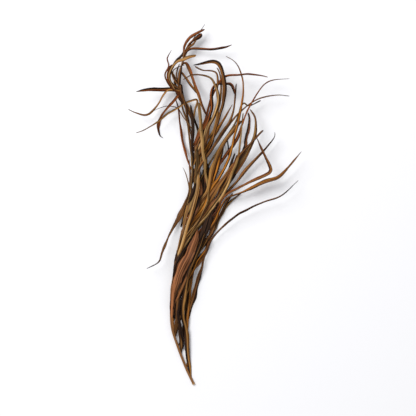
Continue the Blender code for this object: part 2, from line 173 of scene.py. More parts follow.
def swept(tree, routes, sides):
    """The routes swept with a ring of this many sides, and the place of each vertex in its ring."""
    marked = add_node(tree, "GeometryNodeStoreNamedAttribute", {
        "Geometry": routes, "Name": "centre", "Value": add_node(tree, "GeometryNodeInputPosition"),
    }, data_type="FLOAT_VECTOR", domain="POINT")
    curves = add_node(tree, "GeometryNodeMeshToCurve", {"Mesh": marked})
    ring = add_node(tree, "GeometryNodeCurvePrimitiveCircle", {"Resolution": sides})
    share = add_node(tree, "ShaderNodeMath", {
        0: add_node(tree, "GeometryNodeInputIndex"), 1: sides}, operation="DIVIDE")
    ring = add_node(tree, "GeometryNodeStoreNamedAttribute", {
        "Geometry": ring, "Name": "round", "Value": share}, data_type="FLOAT", domain="POINT")
    return add_node(tree, "GeometryNodeCurveToMesh", {
        "Curve": curves, "Profile Curve": ring, "Fill Caps": True})


def read(tree, name, kind="FLOAT"):
    """What the points carry under this name."""
    return add_node(tree, "GeometryNodeInputNamedAttribute", {"Name": name}, data_type=kind)


def finished(tree, mesh, place, pattern, material):
    """Puts each vertex in its place, maps the pattern in millimetres and sets the material."""
    placed = add_node(tree, "GeometryNodeSetPosition", {"Geometry": mesh, "Position": place})
    mapped = add_node(tree, "GeometryNodeStoreNamedAttribute", {
        "Geometry": placed, "Name": "fibres", "Value": pattern}, data_type="FLOAT2", domain="CORNER")
    smooth = add_node(tree, "GeometryNodeSetShadeSmooth", {"Geometry": mapped, "Shade Smooth": True})
    sharp = add_node(tree, "FunctionNodeCompare", {
        0: add_node(tree, "GeometryNodeInputMeshEdgeAngle"), 1: SHARP_EDGE},
        data_type="FLOAT", operation="GREATER_THAN")
    creased = add_node(tree, "GeometryNodeSetShadeSmooth", {
        "Geometry": smooth, "Selection": sharp, "Shade Smooth": False}, domain="EDGE")
    sized = add_node(tree, "GeometryNodeTransform", {"Geometry": creased, "Scale": (MM, MM, MM)})
    real = add_node(tree, "GeometryNodeRealizeInstances", {"Geometry": sized})
    dressed = add_node(tree, "GeometryNodeSetMaterial", {"Geometry": real, "Material": material})
    tree.links.new(dressed.outputs[0], tree.nodes["Group Output"].inputs[0])


def plain_mesh(name, routes, tree, sizes):
    """The object of plain mesh that a tree makes from these routes, its faces pointing out."""
    piece = bpy.data.objects.new(name, routes)
    bpy.context.scene.collection.objects.link(piece)
    modifier = piece.modifiers.new("grow", "NODES")
    modifier.node_group = tree
    for item in tree.interface.items_tree:
        if item.in_out == "INPUT" and item.name in sizes:
            modifier[item.identifier] = sizes[item.name]
    depsgraph = bpy.context.evaluated_depsgraph_get()
    mesh = bpy.data.meshes.new_from_object(
        piece.evaluated_get(depsgraph), preserve_all_data_layers=True, depsgraph=depsgraph)
    piece.modifiers.clear()
    piece.data = mesh
    mesh.name = name
    shape = bmesh.new()
    shape.from_mesh(mesh)
    bmesh.ops.recalc_face_normals(shape, faces=shape.faces)
    shape.to_mesh(mesh)
    shape.free()
    return piece


def offset_place(tree, across, rise):
    """The place that lies this far to the side of a route's centre and this far up from it."""
    sideways = add_node(tree, "ShaderNodeVectorMath", {
        0: read(tree, "side", "FLOAT_VECTOR"), "Scale": across}, operation="SCALE")
    upwards = add_node(tree, "ShaderNodeVectorMath", {
        0: read(tree, "up", "FLOAT_VECTOR"), "Scale": rise}, operation="SCALE")
    beside = add_node(tree, "ShaderNodeVectorMath", {
        0: read(tree, "centre", "FLOAT_VECTOR"), 1: sideways}, operation="ADD")
    return add_node(tree, "ShaderNodeVectorMath", {0: beside, 1: upwards}, operation="ADD")


def stalk_tree():
    """A rod swept along its route, flatter than wide, grooved, and channelled on its upper side."""
    tree, routes = new_tree("stalk")
    sides = named_input(tree, "Sides", "NodeSocketInt")
    flatness = named_input(tree, "Flatness")
    channel_depth = named_input(tree, "Channel depth")
    groove_depth = named_input(tree, "Groove depth")
    groove_width = named_input(tree, "Groove width")
    groove_length = named_input(tree, "Groove length")
    material = named_input(tree, "Material", "NodeSocketMaterial")
    mesh = swept(tree, routes, sides)
    angle = add_node(tree, "ShaderNodeMath", {0: read(tree, "round"), 1: 2 * math.pi}, operation="MULTIPLY")
    cosine = add_node(tree, "ShaderNodeMath", {0: angle}, operation="COSINE")
    sine = add_node(tree, "ShaderNodeMath", {0: angle}, operation="SINE")
    upper = add_node(tree, "ShaderNodeMath", {0: sine, 1: 0.0}, operation="MAXIMUM")
    middle = add_node(tree, "ShaderNodeMath", {0: upper, 1: 8.0}, operation="POWER")
    channel = add_node(tree, "ShaderNodeMath", {0: middle, 1: channel_depth}, operation="MULTIPLY")
    kept = add_node(tree, "ShaderNodeMath", {0: 1.0, 1: channel}, operation="SUBTRACT")
    radius = add_node(tree, "ShaderNodeMath", {0: read(tree, "half"), 1: kept}, operation="MULTIPLY")
    round_mm = add_node(tree, "ShaderNodeMath", {0: read(tree, "half"), 1: groove_width}, operation="DIVIDE")
    spot = add_node(tree, "ShaderNodeCombineXYZ", {
        "X": add_node(tree, "ShaderNodeMath", {0: cosine, 1: round_mm}, operation="MULTIPLY"),
        "Y": add_node(tree, "ShaderNodeMath", {0: sine, 1: round_mm}, operation="MULTIPLY"),
        "Z": add_node(tree, "ShaderNodeMath", {0: read(tree, "along"), 1: groove_length}, operation="DIVIDE"),
    })
    noise = add_node(tree, "ShaderNodeTexNoise", {"Vector": spot, "Scale": 1.0, "Detail": 2.0})
    groove = add_node(tree, "ShaderNodeMath", {
        0: add_node(tree, "ShaderNodeMath", {0: noise, 1: 0.5}, operation="SUBTRACT"),
        1: groove_depth}, operation="MULTIPLY")
    radius = add_node(tree, "ShaderNodeMath", {0: radius, 1: groove}, operation="ADD")
    across = add_node(tree, "ShaderNodeMath", {0: cosine, 1: radius}, operation="MULTIPLY")
    rise = add_node(tree, "ShaderNodeMath", {
        0: add_node(tree, "ShaderNodeMath", {0: sine, 1: radius}, operation="MULTIPLY"),
        1: flatness}, operation="MULTIPLY")
    place = offset_place(tree, across, rise)
    parts = add_node(tree, "ShaderNodeSeparateXYZ", {0: place})
    resting = add_node(tree, "ShaderNodeCombineXYZ", {
        "X": parts.outputs["X"], "Y": parts.outputs["Y"],
        "Z": add_node(tree, "ShaderNodeMath", {0: parts.outputs["Z"], 1: 0.0}, operation="MAXIMUM")})
    turned = add_node(tree, "ShaderNodeMath", {0: angle, 1: math.pi}, operation="SUBTRACT")
    pattern = add_node(tree, "ShaderNodeCombineXYZ", {
        "X": add_node(tree, "ShaderNodeMath", {
            0: add_node(tree, "ShaderNodeMath", {0: turned}, operation="ABSOLUTE"),
            1: read(tree, "half")}, operation="MULTIPLY"),
        "Y": read(tree, "along")})
    finished(tree, mesh, resting, pattern, material)
    return tree


def woody_rachis():
    """Dried rachis: a woody rod of long brown fibres, matt, and paler where it is cut through."""
    material = bpy.data.materials.new("dried_palm_rachis")
    material.use_nodes = True
    tree = material.node_tree
    shader = tree.nodes["Principled BSDF"]
    fibres = add_node(tree, "ShaderNodeUVMap", uv_map="fibres")
    streaks = add_node(tree, "ShaderNodeTexNoise", {
        "Vector": add_node(tree, "ShaderNodeMapping", {
            "Vector": fibres, "Scale": (1 / RACHIS_FIBRE, 1 / RACHIS_FIBRE_LENGTH, 1.0)}),
        "Scale": 1.0, "Detail": 3.0})
    brown = add_node(tree, "ShaderNodeValToRGB", {"Fac": streaks})
    brown.color_ramp.elements[0].position = 0.30
    brown.color_ramp.elements[0].color = colour(RACHIS_DARK)
    brown.color_ramp.elements[1].position = 0.72
    brown.color_ramp.elements[1].color = colour(RACHIS_LIGHT)
    along = add_node(tree, "ShaderNodeSeparateXYZ", {0: fibres}).outputs["Y"]
    cut = add_node(tree, "ShaderNodeMapRange", {
        "Value": along, "From Min": 0.0, "From Max": CUT_FADE, "To Min": 1.0, "To Max": 0.0})
    mixed = add_node(tree, "ShaderNodeMix", {0: cut, 6: brown, 7: colour(RACHIS_CUT)}, data_type="RGBA")
    tree.links.new(mixed.outputs[2], shader.inputs["Base Color"])
    relief = add_node(tree, "ShaderNodeBump", {
        "Height": streaks, "Distance": RACHIS_RELIEF * MM, "Strength": 0.8})
    tree.links.new(relief.outputs[0], shader.inputs["Normal"])
    shader.inputs["Roughness"].default_value = 0.6
    shader.inputs["Specular IOR Level"].default_value = 0.35
    return material


RACHIS_FIBRE = 0.8
RACHIS_FIBRE_LENGTH = 45.0
RACHIS_RELIEF = 0.25
RACHIS_DARK = "#5a3518"
RACHIS_LIGHT = "#9a6a35"
RACHIS_CUT = "#a98450"
CUT_FADE = 5.0

centre = np.array((*BOX_CENTRE, 0.0))
stalk_line = smooth_route(STALK_ROUTE)
stalk_fine = smooth_route(smooth_route(STALK_ROUTE), STALK_STEP)
stalk_side, stalk_up = frames(stalk_fine, np.zeros(len(stalk_fine)))
stalk_along = np.linspace(0.0, STALK_STEP * (len(stalk_fine) - 1), len(stalk_fine))
stalk_half = 0.5 * spread(STALK_WIDTHS, len(stalk_fine))
stalk_half *= 1.0 + 0.12 * CUT_SWELL * (1.0 - smoothstep(stalk_along / CUT_LENGTH))
stalk_routes = route_mesh("stalk_routes", [{
    "place": stalk_fine - centre, "side": stalk_side, "up": stalk_up, "half": stalk_half,
    "along": stalk_along,
}])
stalk = plain_mesh("stalk", stalk_routes, stalk_tree(), {
    "Sides": STALK_SIDES, "Flatness": STALK_FLATNESS, "Channel depth": CHANNEL_DEPTH,
    "Groove depth": GROOVE_DEPTH, "Groove width": GROOVE_WIDTH, "Groove length": GROOVE_LENGTH,
    "Material": woody_rachis(),
})
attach(stalk, "root")
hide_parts("frond")


# The leaflets under the stalk. A dried leaflet is a long thin blade with one strong rib along its
# middle and two lesser ones, folded down along the middle rib, with its edges shrunk and waved. It
# narrows to a stub where it grows from the stalk, and runs out to a thin tip. The strays on the
# right spring out of the bundle from low down, under all the others.

BLADE_THICKNESS = 1.2
FOLD_WIDEST = 0.38
FOLD_NARROW = 0.60
FOLD_FLAT = 12.0
TAPER = (0.45, 0.85, 1.0, 1.0, 0.95, 0.88, 0.75, 0.55, 0.15)
TURN_LIMIT = math.radians(24)
FLOATING = 30.0
ROOT_NEAR = 14.0
ROOT_SLANT = 2.0
ROOT_BOW = 0.08
ROOT_RISE = 45.0
ROOT_SLOPE = 3.0
CELL = 3.0
GRID_LOW = (-190.0, -30.0)
GRID_HIGH = (300.0, 930.0)
OVERLAP = 0.75
NESTING = 0.45
CLEARANCE = 0.3
STIFFNESS = 3

HEART_SEED = 11
HEART_UNDER = 8
HEART_OVER = 9
HEART_START = (115.0, 400.0)
HEART_SHIFT = 10.0
HEART_LENGTH = (150.0, 190.0)
HEART_AIM = (0.15, 0.95)
HEART_WIDTH = (9.0, 13.0)
HEART_LIFT = (2.0, 8.0)
EDGE_MARGIN = 5.0
LEFT_EDGE = ((0, 0), (95, -38), (150, -54), (210, -54), (310, -44), (400, -28), (480, -10), (650, -2))
RIGHT_EDGE = ((0, 4), (140, -14), (230, -8), (300, 6), (365, 38), (400, 50), (450, 66), (550, 38),
              (650, 34))

FINE_STEP = 2.2
LEAF_WALL = 0.42
STUB_WALL = 1.5
STUB_LENGTH = 10.0
TIP_LENGTH = 7.0
THINNEST = 0.22
CRUMPLE_LENGTH = 26.0
CRUMPLE_SIDE = 1.1
CRUMPLE_WIDTH = 0.16
CRUMPLE_TURN = math.radians(16)

# A row names the tones of a leaflet's left and right halves. Where it gives one half the dark tone, or gives
# one tone so that SHADED_HALF darkens the right half, that darker half is painted shade on the side of the
# fold turned from the lamp.
TONES = {
    "brown": "#7f5328", "red": "#925c37", "russet": "#87481a", "tan": "#a3753c", "pale": "#b28c5a",
    "olive": "#88693a", "amber": "#a4661c", "dark": "#37200e",
}
TONE_SHIFT = 0.16
SHADED_HALF = 0.55
# The lift of a filler row: it is sunk between the others and carries nothing. The dark fillers are painted
# shade in the gaps between leaflets.
GAP = None
GAP_SINK = 0.5
HEART_TONES = ("brown", "dark", "brown", "russet", "tan", "dark", "brown", "red", "olive")

UNDER_STALK = (
    ("long_right", "brown dark", (3, 6, 10, 14, 11, 7, 6, 5, 5, 5, 4.5, 3.5, 1.5), 36,
     ((-38, 95), (-28, 115), (-15, 165), (0, 215), (16, 270), (31, 325), (39, 347), (48, 364),
      (63, 383), (85, 404), (112, 427), (135, 439), (175, 458), (220, 474), (262, 512))),
    ("edge_inner", "red brown", (3, 7, 9, 9, 8, 6), 4,
     ((30, 330), (42, 370), (51, 405), (61, 440), (73, 470), (86, 495))),
    ("edge_wide", "brown dark", (3, 7, 9, 9, 8, 5), 6,
     ((44, 372), (58, 405), (70, 430), (84, 456), (99, 480))),
    ("edge_red", "red", 7, 2, ((36, 345), (44, 372), (48, 400), (54, 430), (57, 450))),
    ("edge_olive", "brown olive", (3, 6, 8, 8, 8, 6, 3), 4,
     ((46, 380), (58, 400), (72, 425), (90, 455), (120, 480))),
    ("far_right", "amber brown", (3, 4, 6, 7, 6, 5, 4, 5, 8, 10, 8, 5, 1.5), 38,
     ((52, 405), (66, 435), (84, 466), (125, 484), (175, 507), (210, 518), (240, 548), (270, 583))),
    ("right_lower", "brown", (3, 5, 6, 6, 5, 5, 6, 9, 8, 4, 1.5), 26,
     ((85, 480), (110, 508), (130, 535), (150, 558), (178, 588), (202, 617), (204, 632))),
    ("right_hook", "russet brown", (3, 5, 7, 6, 5, 5, 6, 8, 9, 6, 2), 42,
     ((56, 430), (72, 462), (90, 480), (140, 508), (185, 528), (193, 541), (178, 575), (163, 608),
      (158, 618))),
    ("right_upper", "brown", (3, 6, 9, 10, 9, 7, 5), 34,
     ((95, 540), (120, 578), (145, 604), (175, 636))),
    ("left_stray", "brown", (3, 5, 9, 13, 10, 7, 5, 7, 6, 3, 1.5), 30,
     ((-8, 492), (-19, 458), (-34, 421), (-60, 371), (-76, 334), (-82, 314), (-92, 304), (-116, 292))),
    ("fan_red", "dark red", (3, 6, 9, 11, 10, 4), 2,
     ((62, 470), (95, 530), (122, 575), (135, 620), (141, 665), (137, 682))),
    ("fan_bend", "olive brown", (3, 4, 6, 9, 11, 9, 4), 32,
     ((66, 470), (108, 535), (135, 580), (153, 622), (155, 665), (142, 688))),
)


def stalk_at(stalk, y):
    """The first point of the stalk that is this far up, or its tip."""
    above = np.flatnonzero(stalk[:, 1] >= y)
    return stalk[above[0]] if len(above) else stalk[-1]


def rooted(points, stalk):
    """The route from its root on the stalk, and the root's height."""
    x, y = points[0]
    reach = math.hypot(*(stalk_at(stalk, y)[:2] - (x, y)))
    if reach < ROOT_NEAR:
        root = stalk[np.argmin(np.hypot(stalk[:, 0] - x, stalk[:, 1] - y))]
        return (tuple(root[:2]), *points[1:]), root[2]
    root = stalk_at(stalk, y - ROOT_SLANT * reach)
    middle = ((root[0] + x) / 2 - ROOT_BOW * reach, (root[1] + y) / 2)
    return (tuple(root[:2]), middle, *points), root[2]


def heart_rows(draw, count, stalk):
    """Leaflets inside the bundle, from seeded draws between its two edges."""
    rows = []
    for number in range(count):
        start = HEART_START[0] + (HEART_START[1] - HEART_START[0]) * number / (count - 1)
        start += draw.uniform(-HEART_SHIFT, HEART_SHIFT)
        length = draw.uniform(*HEART_LENGTH)
        aim = draw.uniform(*HEART_AIM)
        root = stalk_at(stalk, start)
        points = [tuple(root[:2])]
        for part in (0.35, 0.7, 1.0):
            y = start + length * part
            left = np.interp(y, *zip(*LEFT_EDGE)) + EDGE_MARGIN
            right = np.interp(y, *zip(*RIGHT_EDGE)) - EDGE_MARGIN
            goal = left + (right - left) * aim
            drift = smoothstep(0.35 + 0.65 * part)
            points.append((root[0] + (goal - root[0]) * drift, y))
        width = draw.uniform(*HEART_WIDTH)
        lift = draw.uniform(*HEART_LIFT)
        rows.append((f"heart_{number}", HEART_TONES[number], width, lift, tuple(points)))
    return rows


def settled(bumps):
    """The height of a stiff strip that lies over these bumps."""
    size = 2 * STIFFNESS + 1
    padded = np.pad(bumps, STIFFNESS, mode="edge")
    highest = np.lib.stride_tricks.sliding_window_view(padded, size).max(axis=1)
    padded = np.pad(highest, STIFFNESS, mode="edge")
    return np.lib.stride_tricks.sliding_window_view(padded, size).mean(axis=1)


class Pile:
    """The height of what already lies on the surface, on a square grid."""

    def __init__(self):
        size = [round((high - low) / CELL) for low, high in zip(GRID_LOW, GRID_HIGH)]
        self.top = np.zeros(size)

    def window(self, x, y, reach):
        column = int((x - GRID_LOW[0]) / CELL)
        row = int((y - GRID_LOW[1]) / CELL)
        cells = max(1, round(reach * OVERLAP / CELL))
        return (slice(column - cells + 1, column + cells), slice(row - cells + 1, row + cells))

    def under(self, plan, reach):
        return np.array([self.top[self.window(x, y, r)].max() for (x, y), r in zip(plan, reach)])

    def add(self, plan, reach, height):
        for (x, y), r, z in zip(plan, reach, height):
            place = self.window(x, y, r)
            self.top[place] = np.maximum(self.top[place], z)


def half_widths(width, count):
    """Half the width at each point: a list from root to tip, or one width with the usual taper."""
    values = width if isinstance(width, tuple) else tuple(width * part for part in TAPER)
    return 0.5 * spread(values, count)


def fold_depth(half):
    """How far a leaflet's edges hang below its ridge: narrow stretches are folded more."""
    return half * (FOLD_WIDEST + FOLD_NARROW * (1.0 - half / half.max())) / (1.0 + half / FOLD_FLAT)


def turns(name, count, lift):
    """A slow turn about the leaflet's own length, more in those that float."""
    draw = random.Random(name)
    size = TURN_LIMIT * (0.4 + 0.6 * min(1.0, lift / FLOATING))
    phase = np.linspace(0.0, draw.uniform(0.8, 2.2) * math.pi, count)
    return size * np.sin(phase + draw.uniform(0.0, 2.0 * math.pi))


def lay(pile, row, stalk):
    """One leaflet laid on the pile: its centre line with its half widths and its turn.

    One with a gap in place of its lift is a filler sunk between the others that carries nothing;
    the dark fillers are painted shade laid in the gaps between leaflets.
    """
    name, tones, width, lift, points = row
    in_gap = lift is GAP
    lift = 0.0 if in_gap else lift
    if in_gap:
        root_height = 0.0
    else:
        points, root_height = rooted(points, stalk)
    plan = smooth_route(points)
    count = len(plan)
    half = half_widths(width, count)
    turn = turns(name, count, lift)
    depth = fold_depth(half)
    tilt = half * np.abs(np.sin(turn))
    hang = NESTING * depth + tilt + CLEARANCE
    part = np.linspace(0.0, 1.0, count)
    height = settled(pile.under(plan, half)) + hang
    height = np.maximum(height, lift * smoothstep(1.15 * part - 0.15))
    height = settled(height - hang) + hang
    rise = max(ROOT_RISE, ROOT_SLOPE * (height.max() - root_height)) / (STEP * (count - 1))
    if in_gap:
        height = height - GAP_SINK
    else:
        height = root_height + (height - root_height) * smoothstep(part / rise)
    height = np.maximum(height, depth + tilt)
    if not in_gap:
        pile.add(plan, half, height + BLADE_THICKNESS / 2 + 0.3 * tilt)
    return np.column_stack([plan, height, half, turn])


def drift(draw, along, spacing):
    """A smooth wander between -1 and 1, with a new draw at each spacing."""
    count = int(along[-1] / spacing) + 4
    values = np.array([draw.uniform(-1.0, 1.0) for _ in range(count)])
    place = along / spacing + 1.0
    low = place.astype(int)
    return values[low] + (values[low + 1] - values[low]) * smoothstep(place - low)


def strand(name, tones, line):
    """What the leaflet tree reads at close steps along one leaflet, crumpled as it dried."""
    fine = smooth_route(line, FINE_STEP)
    place, half, turn = fine[:, :3].copy(), np.maximum(fine[:, 3], THINNEST), fine[:, 4].copy()
    draw = random.Random("crumple of " + name)
    run = np.linspace(0.0, FINE_STEP * (len(fine) - 1), len(fine))
    side, up = frames(place, np.zeros(len(fine)))
    place += side * (CRUMPLE_SIDE * drift(draw, run, CRUMPLE_LENGTH))[:, None]
    half = half * (1.0 + CRUMPLE_WIDTH * drift(draw, run, CRUMPLE_LENGTH))
    turn += CRUMPLE_TURN * drift(draw, run, CRUMPLE_LENGTH)
    side, up = frames(place, turn)
    strides = np.linalg.norm(np.diff(place, axis=0), axis=1)
    along = np.concatenate([[0.0], np.cumsum(strides)])
    near_tip = np.clip((along[-1] - along) / TIP_LENGTH, 0.0, 1.0)
    narrow = np.maximum(half * np.sqrt(1.0 - (1.0 - near_tip) ** 2), THINNEST)
    draw = random.Random("tone of " + name)
    shift = 1.0 + draw.uniform(-TONE_SHIFT, TONE_SHIFT)
    tones = tones.split()
    left, right = [np.array(colour(TONES[tone])) * shift for tone in (tones[0], tones[-1])]
    # A one-tone leaflet's right half is darkened by SHADED_HALF: painted shade on the side turned from the
    # lamp.
    if len(tones) == 1:
        right = right * SHADED_HALF
    return {
        "place": place - centre,
        "side": side,
        "up": up,
        "half": narrow,
        "depth": fold_depth(half) * narrow / half,
        "wall": LEAF_WALL + (STUB_WALL - LEAF_WALL) * (1.0 - smoothstep(along / STUB_LENGTH)),
        "along": along,
        "part": along / along[-1],
        "seed": np.full(len(fine), draw.random()),
        "left_tone": np.tile(left, (len(fine), 1)),
        "right_tone": np.tile(right, (len(fine), 1)),
    }


def leaflet_tree():
    """A folded blade swept along its route, with ribs, fine veins and waved edges."""
    tree, routes = new_tree("leaflets")
    points_across = named_input(tree, "Points across", "NodeSocketInt")
    rib_height = named_input(tree, "Rib height")
    vein_height = named_input(tree, "Vein height")
    vein_spacing = named_input(tree, "Vein spacing")
    vein_length = named_input(tree, "Vein length")
    wave_height = named_input(tree, "Wave height")
    wave_length = named_input(tree, "Wave length")
    nick_depth = named_input(tree, "Nick depth")
    material = named_input(tree, "Material", "NodeSocketMaterial")
    sides = add_node(tree, "ShaderNodeMath", {0: points_across, 1: 2.0}, operation="MULTIPLY")
    mesh = swept(tree, routes, sides.outputs[0])
    turn = add_node(tree, "ShaderNodeMath", {0: read(tree, "round"), 1: 2.0}, operation="MULTIPLY")
    fold = add_node(tree, "ShaderNodeMath", {
        0: add_node(tree, "ShaderNodeMath", {0: turn, 1: 1.0}, operation="SUBTRACT")},
        operation="ABSOLUTE")
    across = add_node(tree, "ShaderNodeMath", {
        0: add_node(tree, "ShaderNodeMath", {0: fold, 1: -2.0}, operation="MULTIPLY"),
        1: 1.0}, operation="ADD")
    outward = add_node(tree, "ShaderNodeMath", {0: across}, operation="ABSOLUTE")
    upper = add_node(tree, "ShaderNodeMath", {0: turn, 1: 1.0}, operation="LESS_THAN")
    face = add_node(tree, "ShaderNodeMath", {
        0: add_node(tree, "ShaderNodeMath", {0: upper, 1: 2.0}, operation="MULTIPLY"),
        1: 1.0}, operation="SUBTRACT")
    marked = add_node(tree, "GeometryNodeStoreNamedAttribute", {
        "Geometry": mesh, "Name": "across", "Value": across}, data_type="FLOAT", domain="POINT")
    marked = add_node(tree, "GeometryNodeStoreNamedAttribute", {
        "Geometry": marked, "Name": "face", "Value": face}, data_type="FLOAT", domain="POINT")
    half = read(tree, "half")
    inward = add_node(tree, "ShaderNodeMath", {0: 1.0, 1: outward}, operation="SUBTRACT")
    marked = add_node(tree, "GeometryNodeStoreNamedAttribute", {
        "Geometry": marked, "Name": "from_edge",
        "Value": add_node(tree, "ShaderNodeMath", {0: inward, 1: half}, operation="MULTIPLY")},
        data_type="FLOAT", domain="POINT")
    along = read(tree, "along")
    seed = add_node(tree, "ShaderNodeMath", {0: read(tree, "seed"), 1: SEED_STRIDE}, operation="MULTIPLY")
    flat = add_node(tree, "ShaderNodeMath", {0: half, 1: across}, operation="MULTIPLY")

    edge_spot = add_node(tree, "ShaderNodeCombineXYZ", {
        "X": add_node(tree, "ShaderNodeMath", {0: along, 1: wave_length}, operation="DIVIDE"),
        "Y": seed, "Z": across})
    wave = add_node(tree, "ShaderNodeTexNoise", {"Vector": edge_spot, "Scale": 1.0, "Detail": 1.0})
    wave = add_node(tree, "ShaderNodeMath", {0: wave, 1: 0.5}, operation="SUBTRACT")
    toward_edge = add_node(tree, "ShaderNodeMath", {0: outward, 1: 2.0}, operation="POWER")
    waved = add_node(tree, "ShaderNodeMath", {
        0: add_node(tree, "ShaderNodeMath", {0: wave, 1: wave_height}, operation="MULTIPLY"),
        1: toward_edge}, operation="MULTIPLY")
    nick_spot = add_node(tree, "ShaderNodeVectorMath", {0: edge_spot, "Scale": NICKS_PER_WAVE},
                         operation="SCALE")
    nick = add_node(tree, "ShaderNodeTexNoise", {"Vector": nick_spot, "Scale": 1.0, "Detail": 2.0})
    nick = add_node(tree, "ShaderNodeMath", {0: nick, 1: 0.5}, operation="SUBTRACT")
    nicked = add_node(tree, "ShaderNodeMath", {
        0: add_node(tree, "ShaderNodeMath", {0: nick, 1: nick_depth}, operation="MULTIPLY"),
        1: 1.0}, operation="ADD")

    vein_spot = add_node(tree, "ShaderNodeCombineXYZ", {
        "X": add_node(tree, "ShaderNodeMath", {0: flat, 1: vein_spacing}, operation="DIVIDE"),
        "Y": add_node(tree, "ShaderNodeMath", {0: along, 1: vein_length}, operation="DIVIDE"),
        "Z": seed})
    vein = add_node(tree, "ShaderNodeTexNoise", {"Vector": vein_spot, "Scale": 1.0, "Detail": 1.0})
    vein = add_node(tree, "ShaderNodeMath", {0: vein, 1: 0.5}, operation="SUBTRACT")
    veined = add_node(tree, "ShaderNodeMath", {0: vein, 1: vein_height}, operation="MULTIPLY")

    cycle = add_node(tree, "ShaderNodeMath", {
        0: add_node(tree, "ShaderNodeMath", {0: across, 1: 2 * math.pi}, operation="MULTIPLY")},
        operation="COSINE")
    rib = add_node(tree, "ShaderNodeMath", {
        0: add_node(tree, "ShaderNodeMath", {0: cycle}, operation="ABSOLUTE"),
        1: RIB_SHARPNESS}, operation="POWER")
    ribbed = add_node(tree, "ShaderNodeMath", {0: rib, 1: rib_height}, operation="MULTIPLY")

    drop = add_node(tree, "ShaderNodeMath", {0: read(tree, "depth"), 1: outward}, operation="MULTIPLY")
    relief = add_node(tree, "ShaderNodeMath", {0: ribbed, 1: drop}, operation="SUBTRACT")
    relief = add_node(tree, "ShaderNodeMath", {0: relief, 1: veined}, operation="ADD")
    relief = add_node(tree, "ShaderNodeMath", {0: relief, 1: waved}, operation="ADD")
    rim = add_node(tree, "ShaderNodeMath", {0: outward, 1: 4.0}, operation="POWER")
    body = add_node(tree, "ShaderNodeMath", {0: 1.0, 1: rim}, operation="SUBTRACT")
    wall = add_node(tree, "ShaderNodeMath", {0: read(tree, "wall"), 1: 0.5}, operation="MULTIPLY")
    wall = add_node(tree, "ShaderNodeMath", {
        0: add_node(tree, "ShaderNodeMath", {0: wall, 1: body}, operation="MULTIPLY"),
        1: face}, operation="MULTIPLY")
    rise = add_node(tree, "ShaderNodeMath", {0: relief, 1: wall}, operation="ADD")
    reach = add_node(tree, "ShaderNodeMath", {0: flat, 1: nicked}, operation="MULTIPLY")
    place = offset_place(tree, reach, rise)
    pattern = add_node(tree, "ShaderNodeCombineXYZ", {"X": flat, "Y": along})
    finished(tree, marked, place, pattern, material)
    return tree


SEED_STRIDE = 97.0
NICKS_PER_WAVE = 3.1
RIB_SHARPNESS = 6.0
LEAFLET_SIZES = {
    "Points across": 16, "Rib height": 0.28, "Vein height": 0.5, "Vein spacing": 1.7,
    "Vein length": 60.0, "Wave height": 1.6, "Wave length": 17.0, "Nick depth": 0.22,
}


